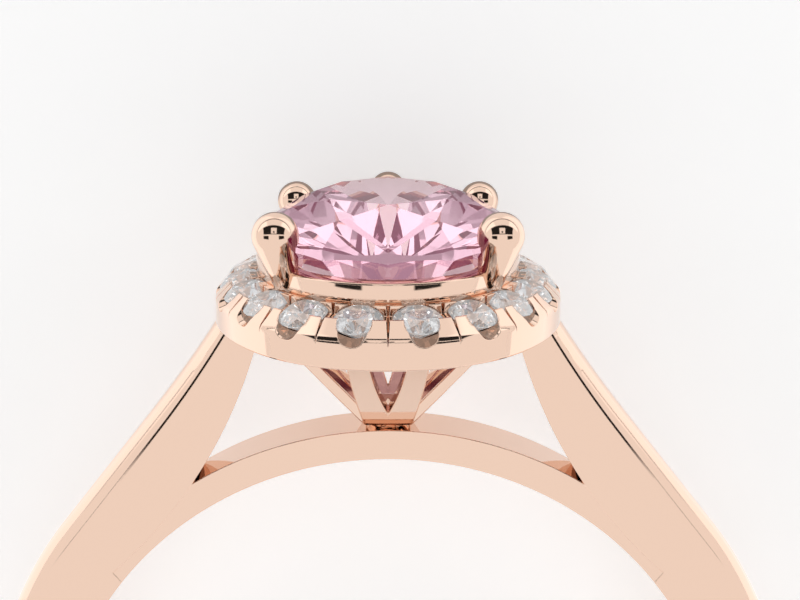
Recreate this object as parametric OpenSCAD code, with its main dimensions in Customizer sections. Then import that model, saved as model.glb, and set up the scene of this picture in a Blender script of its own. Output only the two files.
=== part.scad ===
// A halo ring with a pear cut centre stone, lying on its side as it rests on a table.
// The ring is drawn standing: the finger hole's centre is the origin, X runs across the finger,
// Y runs along it towards the stone's tip, and Z runs up to the head. At the end it is laid down.

/* [Finger ring] */
// Diameter of the finger hole
finger_d = 17.0; // [15:0.1:20]
// Width of the band along the finger
band_w = 1.46; // [1.3:0.02:2.2]
// Thickness of the shank at the edge of its side faces
shank_t = 1.74; // [1.4:0.02:2.2]
// Height of the rounded outside above the edge of the side faces
dome_h = 0.26; // [0.15:0.01:0.4]
// Thickness of the bridge that closes the finger hole under the head
bridge_t = 0.74; // [0.5:0.02:1.1]
// How far each side of the bridge stands back from the shoulders
bridge_step = 0.02; // [0.01:0.01:0.05]

/* [Shoulders] */
// Height from the finger hole to the underside of the halo
head_h = 3.72; // [3.2:0.02:4.4]
// How far outside the stone's widest line the outer edge of each shoulder meets the halo
shoulder_out = 0.62; // [0.5:0.02:0.75]
// How far inside the stone's widest line the inner edge of each shoulder meets the halo
shoulder_in = 0.04; // [0:0.02:0.2]
// Radius of the outward curve at the top of a shoulder
flare_r = 29.5; // [20:0.5:40]
// Length of that curve
flare_len = 3.45; // [2.4:0.05:4.4]
// Radius of the shoulder's inner edge
inner_r = 12.4; // [10:0.1:16]
// Lean of that edge where it meets the halo, in degrees from upright
inner_lean = 12; // [8:0.5:16]

/* [Centre stone] */
// Width of the stone
stone_w = 6.08; // [5.6:0.02:6.6]
// Length of the round end, from the widest line to the front
round_len = 3.83; // [3.6:0.01:4.2]
// Length of the pointed end, from the widest line to the tip
point_len = 5.03; // [4.6:0.01:5.6]
// Radius of the round end at its very front
front_r = 2.6; // [2.45:0.01:2.7]
// How far the widest line lies in front of the middle of the band
stone_ahead = 0.53; // [0.3:0.01:0.8]
// Height from the underside of the halo to the middle of the girdle
girdle_up = 2.06; // [1.95:0.01:2.3]
// Thickness of the girdle at the corners of its facets
girdle_t = 0.24; // [0.22:0.01:0.3]
// Height of the crown above the girdle
crown_h = 0.75; // [0.6:0.01:0.95]
// Depth of the pavilion below the girdle
pavilion_h = 2.6; // [2.3:0.05:2.8]
// Width of the table as a share of the stone
table_share = 0.56; // [0.5:0.01:0.62]
// Clearance between each stone and the metal
stone_gap = 0.03; // [0.02:0.005:0.04]

/* [Prongs] */
// Radius of a prong's ball
ball_r = 0.513; // [0.42:0.01:0.56]
// Height of the ball's middle above the middle of the girdle
ball_up = 0.19; // [0.1:0.01:0.3]
// How much higher the balls of the front prongs stand
front_lift = 0.1; // [0:0.01:0.15]
// How far outside the girdle the ball's middle stands
ball_out = 0.25; // [0.18:0.01:0.3]
// How far outside the stone's tip the tip prong's ball stands
tip_ball_out = 0.17; // [0.05:0.01:0.25]
// Taper of a prong on each side, in degrees
prong_taper = 13; // [9:0.5:15]
// How far the middle of a prong's stem reaches below the top of the gallery rail
prong_sink = 0.34; // [0.26:0.01:0.36]
// Direction that each front prong faces, in degrees in front of the line across the stone
front_turn = 35; // [30:1:40]
// Direction that each back prong faces, in degrees behind that line
back_turn = 31; // [28:1:38]

/* [Gallery rail] */
// Height of the rail's top above the underside of the halo
rail_top = 1.57; // [1.5:0.01:1.65]
// Height of the rail
rail_h = 0.43; // [0.36:0.01:0.48]
// How far the rail's outer face stands outside the girdle
rail_out = 0.1; // [0.06:0.01:0.14]
// Thickness of the rail and of the wall below it
rail_t = 0.45; // [0.35:0.01:0.55]
// Bevel on the rail's top edges
rail_bevel = 0.05; // [0.02:0.01:0.08]

/* [Halo] */
// Pairs of halo stones, beside the single one at the tip; they fill the line round the centre stone
melee_pairs = 10; // [9:1:11]
// Gap between two halo stones
melee_gap = 0.206; // [0.18:0.002:0.26]
// Outward tilt of the halo stones, in degrees
melee_tilt = 18; // [14:1:22]
// How far the halo stones tuck in under the rail
melee_tuck = 0.12; // [0.08:0.01:0.14]
// Height of the halo stones' girdles above the underside of the halo
melee_up = 0.88; // [0.84:0.01:0.92]
// Thickness of metal outside the halo stones
halo_rim = 0.11; // [0.08:0.01:0.2]
// Height of the crease between the halo's wall and the tops of its outer blocks
crease_up = 0.7; // [0.64:0.01:0.74]
// How far the crease lies inside the wall
crease_in = 0.08; // [0.05:0.01:0.12]
// Radius that rounds the wall up to the crease
halo_round = 0.22; // [0.18:0.01:0.3]
// Width of the sloping top of an outer block
block_top_w = 0.27; // [0.22:0.01:0.3]
// Width of the top of an inner block outside the rail
inner_top_w = 0.17; // [0.12:0.01:0.2]
// Radius of the round notch that shows each stone from outside
notch_r = 0.33; // [0.28:0.01:0.36]
// Height of the notch's middle above the stone's girdle
notch_up = 0.13; // [0.08:0.01:0.2]
// Half width of the gap between inner blocks
inner_gap = 0.265; // [0.22:0.005:0.3]
// Width of the split between the two beads of a block, at its top
split_w = 0.11; // [0.06:0.01:0.14]
// Depth of that split below the stones' girdles
split_down = 0.17; // [0.1:0.01:0.2]

/* [Basket] */
// Half width of the basket's foot on the bridge
foot_w = 0.45; // [0.42:0.01:0.5]
// Height of the basket's solid foot above the bridge
foot_h = 0.5; // [0.4:0.01:0.7]
// Outward lean of the foot's sides, in degrees from upright
foot_lean = 40; // [38:0.5:42]
// Outward lean of the four petals, in degrees from upright
petal_lean = 42; // [38:0.5:45]
// Distance from the axis to the middle of a petal's plate, at the height of the bridge
petal_at = 0.31; // [0.29:0.01:0.34]
// Distance along the petal from the bridge to the petal's lower end
petal_low = 0.22; // [0.15:0.01:0.3]
// Thickness of a petal
petal_t = 0.28; // [0.22:0.01:0.35]
// Half width of a petal at its broadest
petal_w = 1.05; // [0.95:0.01:1.1]
// Half width of a petal where it leaves the foot
petal_foot_w = 0.65; // [0.55:0.01:0.68]
// Half width of a petal's window at its broadest
window_w = 0.46; // [0.38:0.01:0.5]
// Distance along the petal from the bridge to the window's lower tip
window_up = 0.95; // [0.85:0.01:1.1]
// Distance along the petal from the bridge to the window's broadest place
window_mid = 4.0; // [3.8:0.05:4.2]
// Distance along the petal from the bridge to the petal's own broadest place
petal_mid = 5.5; // [5.2:0.05:5.8]

/* [Hidden] */
$fn = 96;
// Enough to cut clean through a face
extra = 0.5;
// How far soldered pieces reach into each other
weld = 0.05;
// Each stretch of a shoulder starts this far below the surface of the one before
seam = 0.01;
// Steps round the outline of the halo and the rail
outline_steps = 84;

// The finger ring and the shoulders
finger_r = finger_d / 2;
face_r = finger_r + shank_t;
bridge_r = finger_r + bridge_t;
halo_z = finger_r + head_h;
dome_r = (band_w * band_w / 4 + dome_h * dome_h) / (2 * dome_h);
// The outer edge of a shoulder leaves the shank along a tangent, then curves out to meet the halo
meet_x = stone_w / 2 + shoulder_out;
meet_r = norm([meet_x, halo_z]);
flare_turn = flare_len / flare_r * 180 / PI;
meet_turn = acos((face_r + flare_r * (1 - cos(flare_turn))) / meet_r);
leave_turn = atan2(meet_x, halo_z) + meet_turn;
straight_len = meet_r * sin(meet_turn) - flare_r * sin(flare_turn);
leave_out = [sin(leave_turn), cos(leave_turn)];
leave_up = [-cos(leave_turn), sin(leave_turn)];
straight_at = (face_r - seam) * leave_out - weld * leave_up;
flare_at = (face_r + flare_r) * leave_out + straight_len * leave_up;
inner_at = [stone_w / 2 - shoulder_in, halo_z] + inner_r * [cos(inner_lean), sin(inner_lean)];
shoulder_depth = shank_t + extra;

// The stone's outline: a front arc, two shoulder arcs and two side arcs, each tangent to the next
half_w = stone_w / 2;
front_c = round_len - front_r;
bow_r = (half_w * half_w + front_c * front_c - front_r * front_r) / (2 * (half_w - front_r));
side_r = (half_w * half_w + point_len * point_len) / (2 * half_w);
bow_turn = atan2(front_c, bow_r - half_w);
side_turn = atan2(point_len, side_r - half_w);

girdle_z = halo_z + girdle_up;
girdle_high_z = girdle_z + girdle_t / 2;
table_z = girdle_high_z + crown_h;

// How far up the crown, and down the pavilion, the main facets of a cut stone meet each other
star_share = 0.66;
lower_share = 0.76;

// The halo stones lie side by side along a line outside the girdle. That line is PI times its distance
// longer than half the girdle, which gives the size of the stones that fill it.
half_count = melee_pairs + 0.5;
melee_r = (pear_length(0) + PI * (rail_out - melee_tuck) - half_count * melee_gap)
    / (2 * half_count - PI * cos(melee_tilt));
melee_d = 2 * melee_r;
melee_reach = melee_r * cos(melee_tilt);
melee_line = rail_out - melee_tuck + melee_reach;
halo_out = melee_line + melee_reach + halo_rim;
melee_z = halo_z + melee_up;
melee_table = 0.56 * melee_r;
melee_crown = 0.32 * melee_r;
melee_pavilion = 0.86 * melee_r;
melee_girdle = 0.07 * melee_r;
melee_star = (melee_r - star_share * (melee_r - melee_table)) / cos(22.5);
melee_count = 2 * melee_pairs + 1;
pitch = melee_d + melee_gap;

// Sections of the halo and the rail, measured outwards from the girdle
rail_in = rail_out - rail_t;
rail_top_z = halo_z + rail_top;
rail_low_z = rail_top_z - rail_h;
crease_z = halo_z + crease_up;
crease_at = halo_out - crease_in;
round_low_z = crease_z - sqrt(halo_round * halo_round - pow(halo_round - crease_in, 2));
block_in = crease_at - block_top_w;
block_top_z = crease_z + block_top_w;
inner_out = rail_out + inner_top_w;
floor_down = 0.02;

// The basket
petal_r = (pow(petal_mid - foot_h, 2) + pow(petal_w - petal_foot_w, 2)) / (2 * (petal_w - petal_foot_w));
window_r = (pow(window_mid - window_up, 2) + window_w * window_w) / (2 * window_w);
petal_len = (rail_low_z - bridge_r) / cos(petal_lean);

// Lying on its side, the ring touches the table at the halo's tip and at the bottom of the shank
tip_y = point_len - stone_ahead;
rest_tilt = atan2(tip_y + halo_out - band_w / 2, halo_z + face_r);
rest_up = band_w / 2 * cos(rest_tilt) + face_r * sin(rest_tilt);
head_end = (tip_y + tip_ball_out) * sin(rest_tilt) + (girdle_z + ball_up) * cos(rest_tilt) + ball_r;
shank_end = (face_r + dome_h - dome_r) * cos(rest_tilt) + dome_r;
rest_along = (shank_end - head_end) / 2;

function two(n) = str(n < 10 ? "0" : "", n);
MELEE = [for (i = [1:melee_count]) str("halo_stone_", two(i))];

// Where the side arc ends, as the direction that it faces: at the tip, or in the corner inside it
function side_end(out) = out < 0 ? acos((side_r - half_w) / (side_r + out)) : side_turn;

// Length of half the outline at a distance outside the girdle, from the front to the tip
function pear_length(out) = PI / 180 * (
    (front_r + out) * (90 - bow_turn) + (bow_r + out) * bow_turn
    + (side_r + out) * side_end(out) + max(out, 0) * (90 - side_turn));

// A place on the outline by the direction that it faces: -90 is the front, 0 is sideways, 90 is the tip
function pear_facing(a, out) =
    a < -bow_turn ? [(front_r + out) * cos(a), (front_r + out) * sin(a) - front_c]
    : a < 0 ? [half_w - bow_r + (bow_r + out) * cos(a), (bow_r + out) * sin(a)]
    : a <= side_end(out) ? [half_w - side_r + (side_r + out) * cos(a), (side_r + out) * sin(a)]
    : [out * cos(a), point_len + out * sin(a)];

// The direction faced at a distance s along the outline from the front
function facing(s, out) = let (
    front = (front_r + out) * (90 - bow_turn) * PI / 180,
    bow = (bow_r + out) * bow_turn * PI / 180,
    side = (side_r + out) * side_end(out) * PI / 180)
    s < front ? -90 + s / (front_r + out) * 180 / PI
    : s < front + bow ? -bow_turn + (s - front) / (bow_r + out) * 180 / PI
    : s < front + bow + side ? (s - front - bow) / (side_r + out) * 180 / PI
    : out > 0 ? min(90, side_turn + (s - front - bow - side) / out * 180 / PI) : side_end(out);

// A place on the outline by its share of the way round, from the front by the right to the tip and back
function outline_point(share, out) = let (
    right = share <= 0.5,
    a = facing(2 * pear_length(out) * (right ? share : 1 - share), out),
    p = pear_facing(a, out))
    [right ? p[0] : -p[0], p[1], right ? a : 180 - a];

// Moves its children to a distance s along the outline, X outwards; a negative s goes the other way round
module at_outline(s, out) {
    a = facing(abs(s), out);
    p = pear_facing(a, out);
    turn = s < 0 ? 180 - a : a;
    translate([sign(s) * p[0], p[1] - stone_ahead, 0])
        rotate([0, 0, turn])
            children();
}

// Moves its children to the girdle of a halo stone by its number; half numbers lie between two stones
module at_melee(i) {
    at_outline((i - half_count) * pitch, melee_line)
        translate([0, 0, melee_z])
            rotate([0, melee_tilt, 0])
                children();
}

// Sweeps a section, a list of distances outside the girdle and heights, right round the outline
module pear_sweep(section) {
    n = outline_steps;
    m = len(section);
    points = [for (j = [0:n - 1], p = section) let (q = outline_point(j / n, p[0]))
        [q[0], q[1] - stone_ahead, p[1]]];
    faces = [for (j = [0:n - 1], k = [0:m - 1]) let (a = j * m, b = (j + 1) % n * m, l = (k + 1) % m)
        [a + k, a + l, b + l, b + k]];
    polyhedron(points = points, faces = faces);
}

// The inside of the outline, as a prism between two heights
module pear_prism(out, low, high) {
    translate([0, -stone_ahead, low])
        linear_extrude(high - low)
            polygon([for (j = [0:outline_steps - 1])
                let (q = outline_point(j / outline_steps, out)) [q[0], q[1]]]);
}

// Section through the band: X is measured outwards from the edge of its side faces
module band_section(depth) {
    translate([-depth, -band_w / 2])
        square([depth, band_w]);
    intersection() {
        translate([dome_h - dome_r, 0])
            circle(dome_r);
        translate([0, -band_w / 2])
            square([dome_h, band_w]);
    }
}

// An upright slab of the band's width or less, drawn from the front
module front_slab(width) {
    rotate([90, 0, 0])
        linear_extrude(width, center = true)
            children();
}

module shank() {
    rotate([90, 0, 0])
        rotate([0, 0, 90 + leave_turn])
            rotate_extrude(angle = 360 - 2 * leave_turn)
                translate([face_r, 0])
                    band_section(shank_t + extra);
}

module bridge() {
    front_slab(band_w - 2 * bridge_step)
        intersection() {
            circle(bridge_r);
            polygon([[0, 0], 2 * bridge_r * [leave_out[0], leave_out[1] - weld],
                [bridge_r, 2 * bridge_r], [-bridge_r, 2 * bridge_r],
                2 * bridge_r * [-leave_out[0], leave_out[1] - weld]]);
        }
}

// One shoulder: a straight stretch and a flared one, cut to the curve of its inner edge
module shoulder() {
    intersection() {
        union() {
            translate([straight_at[0], 0, straight_at[1]])
                rotate([0, leave_turn - 90, 0])
                    linear_extrude(straight_len + weld)
                        band_section(shoulder_depth);
            translate([flare_at[0], 0, flare_at[1]])
                rotate([90, 0, 0])
                    rotate([0, 0, 270 - leave_turn - 1.2 * flare_turn])
                        rotate_extrude(angle = 1.21 * flare_turn)
                            translate([flare_r + 2 * seam, 0])
                                mirror([1, 0])
                                    band_section(shoulder_depth);
        }
        front_slab(2 * band_w)
            intersection() {
                translate(inner_at)
                    circle(inner_r);
                square([2 * face_r, halo_z + weld]);
            }
    }
}

module finger_ring() {
    difference() {
        union() {
            shank();
            bridge();
            shoulder();
            mirror([1, 0, 0])
                shoulder();
        }
        rotate([90, 0, 0])
            cylinder(h = 2 * band_w, r = finger_r, center = true);
    }
}

// One petal of the basket, standing at the front, with its pointed window
module petal() {
    translate([0, -petal_at, bridge_r])
        rotate([90 + petal_lean, 0, 0])
            linear_extrude(petal_t, center = true)
                difference() {
                    intersection() {
                        translate([petal_w - petal_r, petal_mid])
                            circle(petal_r);
                        translate([petal_r - petal_w, petal_mid])
                            circle(petal_r);
                        translate([-petal_w, petal_low])
                            square([2 * petal_w, petal_len - petal_low]);
                    }
                    intersection() {
                        translate([window_w - window_r, window_mid])
                            circle(window_r);
                        translate([window_r - window_w, window_mid])
                            circle(window_r);
                    }
                }
}

// The basket's eight sided foot, wider at the top than on the bridge
module basket_foot() {
    top_w = foot_w + foot_h * tan(foot_lean);
    intersection_for (a = [0, 45, 90, 135])
        rotate([0, 0, a])
            front_slab(4 * foot_w)
                polygon([[-foot_w, bridge_r - bridge_t / 2], [foot_w, bridge_r - bridge_t / 2],
                    [foot_w, bridge_r], [top_w, bridge_r + foot_h],
                    [-top_w, bridge_r + foot_h], [-foot_w, bridge_r]]);
}

module basket() {
    basket_foot();
    intersection() {
        for (a = [0:90:270])
            rotate([0, 0, a])
                petal();
        union() {
            translate([-stone_w, -stone_w, 0])
                cube([2 * stone_w, 2 * stone_w, halo_z + weld]);
            pear_prism(rail_in + rail_t / 3, halo_z - extra, rail_low_z);
        }
    }
}

// Section through the halo and the wall inside it
function halo_section() = let (slope = tan(melee_tilt), floor_z = melee_z - floor_down,
    round_at = halo_out - halo_round, round_turn = acos((halo_round - crease_in) / halo_round))
    concat([[rail_in, halo_z], [halo_out, halo_z]],
        [for (k = [0:3]) [round_at + halo_round * cos(k / 3 * round_turn),
            round_low_z + halo_round * sin(k / 3 * round_turn)]],
        [[block_in, block_top_z],
        [block_in, floor_z - (block_in - melee_line) * slope],
        [inner_out, floor_z - (inner_out - melee_line) * slope],
        [inner_out, rail_low_z], [rail_in, rail_low_z]]);

// Space for one halo stone, with the round notch outside it and the gap inside it
module melee_seat() {
    rotate_extrude()
        polygon([[0, -melee_pavilion - stone_gap], [stone_gap, -melee_pavilion - stone_gap],
            [melee_r + stone_gap, -melee_girdle / 2 - stone_gap / 2],
            [melee_r + stone_gap, melee_girdle / 2 + stone_gap / 2],
            [melee_star + stone_gap, melee_girdle / 2 + star_share * melee_crown + stone_gap / 2],
            [melee_table + stone_gap, melee_girdle / 2 + melee_crown + stone_gap / 2],
            [melee_table + stone_gap, melee_d], [0, melee_d]]);
    rotate([90, 0, 90])
        linear_extrude(melee_d)
            union() {
                translate([0, notch_up])
                    circle(notch_r);
                translate([-notch_r, notch_up])
                    square([2 * notch_r, melee_d]);
            }
    translate([-melee_r - stone_gap, -inner_gap, 0])
        cube([melee_r + stone_gap, 2 * inner_gap, melee_d]);
}

// The narrow split that turns a block into two beads
module bead_split() {
    inwards = melee_line - rail_out;
    rotate([90, 0, 90])
        translate([0, 0, -inwards])
            linear_extrude(inwards + melee_d)
                polygon([[0, -split_down], [split_w / 2, melee_r / 2], [-split_w / 2, melee_r / 2]]);
}

module halo_frame() {
    difference() {
        pear_sweep(halo_section());
        for (i = [1:melee_count])
            at_melee(i)
                melee_seat();
        for (i = [1:melee_count])
            at_melee(i - 0.5)
                bead_split();
    }
}

module gallery_rail() {
    pear_sweep([[rail_in, rail_low_z], [rail_out, rail_low_z], [rail_out, rail_top_z - rail_bevel],
        [rail_out - rail_bevel, rail_top_z], [rail_in + rail_bevel, rail_top_z],
        [rail_in, rail_top_z - rail_bevel]]);
}

// A ball on a tapering stem, leaning so that its inner side stands upright. The stem ends at the rail.
module prong(out, up) {
    prong_len = (girdle_z + up - rail_top_z + prong_sink) / cos(prong_taper);
    translate([out, 0, girdle_z + up])
        rotate([0, prong_taper, 0])
            rotate_extrude()
                intersection() {
                    union() {
                        circle(ball_r);
                        polygon([[0, 0], [ball_r * cos(prong_taper), -ball_r * sin(prong_taper)],
                            [ball_r / cos(prong_taper) - prong_len * tan(prong_taper), -prong_len],
                            [0, -prong_len]]);
                    }
                    translate([0, -prong_len])
                        square([2 * ball_r, prong_len + 2 * ball_r]);
                }
}

// The seat that the stone's edge needs in a prong, a little steeper than the stone's facets
module prong_seat() {
    reach = half_w / 2;
    crown_slope = 1.3 * crown_h / (half_w * (1 - table_share));
    pavilion_slope = 1.2 * pavilion_h / half_w;
    translate([0, 0, girdle_z])
        rotate([90, 0, 0])
            linear_extrude(4 * ball_r, center = true)
                polygon([[stone_gap, -girdle_t / 2], [stone_gap, girdle_t / 2],
                    [-reach, girdle_t / 2 + reach * crown_slope],
                    [-reach, -girdle_t / 2 - reach * pavilion_slope]]);
}

module at_facing(a) {
    p = pear_facing(a, 0);
    translate([p[0], p[1] - stone_ahead, 0])
        rotate([0, 0, a])
            children();
}

module prongs() {
    for (side = [0, 1], front = [true, false])
        mirror([side, 0, 0])
            at_facing(front ? -front_turn : back_turn)
                difference() {
                    prong(ball_out, ball_up + (front ? front_lift : 0));
                    prong_seat();
                }
    at_facing(90)
        difference() {
            prong(tip_ball_out, ball_up);
            prong_seat();
        }
}

// Cut stones. Each is worked out from eight main facets, sixteen corners and the curve between them.
// The outline is a list of places, each with the direction it faces, starting at a main facet.
function plane_height(a, b, c, p) =
    let (n = cross(b - a, c - a))
    a[2] - (n[0] * (p[0] - a[0]) + n[1] * (p[1] - a[1])) / n[2];

// Where two main facets meet at a height: each drops from its corner g towards the point m
function facets_meet(g1, g2, m1, m2, share) =
    let (n1 = [cos(g1[2]), sin(g1[2])], n2 = [cos(g2[2]), sin(g2[2])],
        p1 = [g1[0], g1[1]], p2 = [g2[0], g2[1]],
        d1 = n1 * p1 - share * (n1 * (p1 - m1)), d2 = n2 * p2 - share * (n2 * (p2 - m2)),
        k = n1[0] * n2[1] - n1[1] * n2[0])
    [(d1 * n2[1] - d2 * n1[1]) / k, (n1[0] * d2 - n2[0] * d1) / k];

module cut_stone(outline, steps, crown, pavilion, girdle, table) {
    n = 16 * steps;
    function corner(i) = outline[(i * 2 * steps) % n];
    function flat(p) = [p[0], p[1]];
    function level(p, z) = [p[0], p[1], z];
    high = girdle / 2;
    table_pts = [for (i = [0:7]) level(table * flat(corner(i)), high + crown)];
    star_pts = [for (i = [0:7])
        level(facets_meet(corner(i), corner(i + 1), table * flat(corner(i)),
            table * flat(corner(i + 1)), star_share), high + star_share * crown)];
    lower_pts = [for (i = [0:7])
        level(facets_meet(corner(i), corner(i + 1), [0, 0], [0, 0], lower_share),
            -high - lower_share * pavilion)];
    // The facets beside the girdle are flat, so its edges dip between their corners
    function edge_z(j, peaks, z) =
        let (k = floor(j / steps), i = floor(k / 2), a = outline[k * steps],
            b = outline[((k + 1) * steps) % n])
        plane_height(level(a, z), level(b, z), peaks[i], outline[j]);
    high_pts = [for (j = [0:n - 1]) level(outline[j], edge_z(j, star_pts, high))];
    low_pts = [for (j = [0:n - 1]) level(outline[j], edge_z(j, lower_pts, -high))];
    points = concat(table_pts, star_pts, high_pts, low_pts, lower_pts, [[0, 0, -high - pavilion]]);
    t0 = 0;
    s0 = 8;
    h0 = 16;
    l0 = h0 + n;
    k0 = l0 + n;
    culet = k0 + 8;
    faces = concat(
        [[for (i = [7:-1:0]) t0 + i]],
        [for (i = [0:7]) [t0 + i, t0 + (i + 1) % 8, s0 + i]],
        [for (i = [0:7]) [t0 + i, s0 + i, h0 + i * 2 * steps]],
        [for (i = [0:7]) [t0 + i, h0 + i * 2 * steps, s0 + (i + 7) % 8]],
        [for (j = [0:n - 1]) [s0 + floor(j / (2 * steps)), h0 + (j + 1) % n, h0 + j]],
        [for (j = [0:n - 1]) [h0 + j, h0 + (j + 1) % n, l0 + (j + 1) % n]],
        [for (j = [0:n - 1]) [h0 + j, l0 + (j + 1) % n, l0 + j]],
        [for (j = [0:n - 1]) [k0 + floor(j / (2 * steps)), l0 + j, l0 + (j + 1) % n]],
        [for (i = [0:7]) [l0 + i * 2 * steps, k0 + i, culet]],
        [for (i = [0:7]) [l0 + i * 2 * steps, culet, k0 + (i + 7) % 8]]);
    polyhedron(points = points, faces = faces);
}

// The outline of the centre stone, whose tip faces straight back
function pear_outline(n) = [for (j = [0:n - 1]) let (p = outline_point(j / n, 0))
    2 * j == n ? [0, point_len, 90] : p];

function round_outline(n, r) = [for (j = [0:n - 1]) let (a = 360 * j / n) [r * cos(a), r * sin(a), a]];

module lie_down() {
    translate([0, rest_along, rest_up])
        rotate([rest_tilt - 90, 0, 0])
            children();
}

module setting() {
    color("#e8b596")
        lie_down() {
            finger_ring();
            basket();
            halo_frame();
            gallery_rail();
            prongs();
        }
}

module centre_stone() {
    steps = 5;
    color("#d9a0bf")
        lie_down()
            translate([0, -stone_ahead, girdle_z])
                cut_stone(pear_outline(16 * steps), steps, crown_h, pavilion_h, girdle_t,
                    table_share);
}

module halo_stone(number) {
    steps = 2;
    color("#eef2f6")
        lie_down()
            at_melee(number)
                cut_stone(round_outline(16 * steps, melee_r), steps, melee_crown,
                    melee_pavilion, melee_girdle, melee_table / melee_r);
}

setting();
centre_stone();
for (i = [1:melee_count])
    halo_stone(i);
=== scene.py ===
"""A rose gold halo ring with a pear cut pink stone, lying on a pale table.

The ring is drawn in metres in the frame of the CAD model. DRAWING turns a place on the standing ring
(X across the finger, Y along it towards the stone's tip, Z up to the head) into the lying one.
"""

import math

import bpy
from mathutils import Matrix, Vector


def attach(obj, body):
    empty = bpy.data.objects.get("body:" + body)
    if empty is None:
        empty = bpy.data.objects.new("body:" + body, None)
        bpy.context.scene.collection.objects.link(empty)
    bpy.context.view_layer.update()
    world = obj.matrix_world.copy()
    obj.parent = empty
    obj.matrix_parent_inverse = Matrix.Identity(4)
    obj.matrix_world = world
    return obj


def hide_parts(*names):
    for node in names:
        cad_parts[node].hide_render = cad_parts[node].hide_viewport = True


bl_info = {
    "name": "Halo Ring",
    "version": (1, 0, 0),
    "blender": (4, 5, 0),
    "location": "View3D > Sidebar > Halo Ring",
    "description": "Dresses a halo ring: polished metal, cut stones, table and studio light",
    "category": "Add Mesh",
}

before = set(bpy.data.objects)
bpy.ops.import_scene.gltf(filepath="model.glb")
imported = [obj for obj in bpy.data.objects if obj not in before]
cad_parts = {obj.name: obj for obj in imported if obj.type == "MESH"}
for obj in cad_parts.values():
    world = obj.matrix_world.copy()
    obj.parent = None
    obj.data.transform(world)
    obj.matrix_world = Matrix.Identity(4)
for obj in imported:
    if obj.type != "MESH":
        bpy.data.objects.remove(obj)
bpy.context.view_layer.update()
MM = 0.001

# How the ring lies: the turn from standing, and where the finger hole's centre comes to be
REST_TILT = math.radians(12.183475)
HOLE_AT = Vector((0.0, -2.676572, 2.874637)) * MM
DRAWING = Matrix.Translation(HOLE_AT) @ Matrix.Rotation(REST_TILT - math.pi / 2, 4, "X")
STONES = sorted(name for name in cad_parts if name.startswith("halo_stone_"))


def size(name, text, default):
    """A length in millimetres that the panel shows."""
    return bpy.props.FloatProperty(
        name=name, description=text, unit="LENGTH", min=0, default=default * MM)


def turn(name, text, default):
    """An angle in degrees that the panel shows."""
    return bpy.props.FloatProperty(
        name=name, description=text, subtype="ANGLE", default=math.radians(default))


def tint(name, text, default):
    """A colour that the panel shows."""
    return bpy.props.FloatVectorProperty(
        name=name, description=text, subtype="COLOR", size=3, min=0, max=1, default=default)


class BandSizes(bpy.types.PropertyGroup):
    """Sizes of the finger ring and its shoulders"""

    finger_r: size("Finger radius", "Radius of the finger hole", 8.5)
    face_r: size("Face radius", "Outer radius of the shank's flat sides", 10.24)
    width: size("Width", "Width of the band along the finger", 1.46)
    dome: size("Dome", "Height of the rounded outside above the flat sides", 0.26)
    arm_inset: size("Arm inset", "How far the arms' flat faces end inside the shank's line", 0.1)
    arm_line: size("Arm line", "Width of the narrow chamfer beside the arms' flat faces", 0.05)
    arm_bulge: size("Arm bulge", "How much further out the arms' rounded outside stands", 0.07)
    bridge_r: size("Bridge radius", "Outer radius of the bridge under the head", 9.24)
    bridge_step: size("Bridge step", "How far the bridge stands back from the shoulders", 0.02)
    head_z: size("Head height", "Height of the halo's underside", 12.22)
    meet_x: size("Shoulder reach", "Where a shoulder's outer edge meets the halo", 3.66)
    flare_r: size("Flare radius", "Radius of the outward curve at a shoulder's top", 29.5)
    flare_len: size("Flare length", "Length of that curve", 3.45)
    inner_x: size("Inner reach", "Where a shoulder's inner edge meets the halo", 3.0)
    inner_r: size("Inner radius", "Radius of a shoulder's inner edge", 12.4)
    inner_lean: turn("Inner lean", "Lean of that edge where it meets the halo", 12)
    edge: size("Edge", "Rounding of the edges", 0.035)


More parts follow.
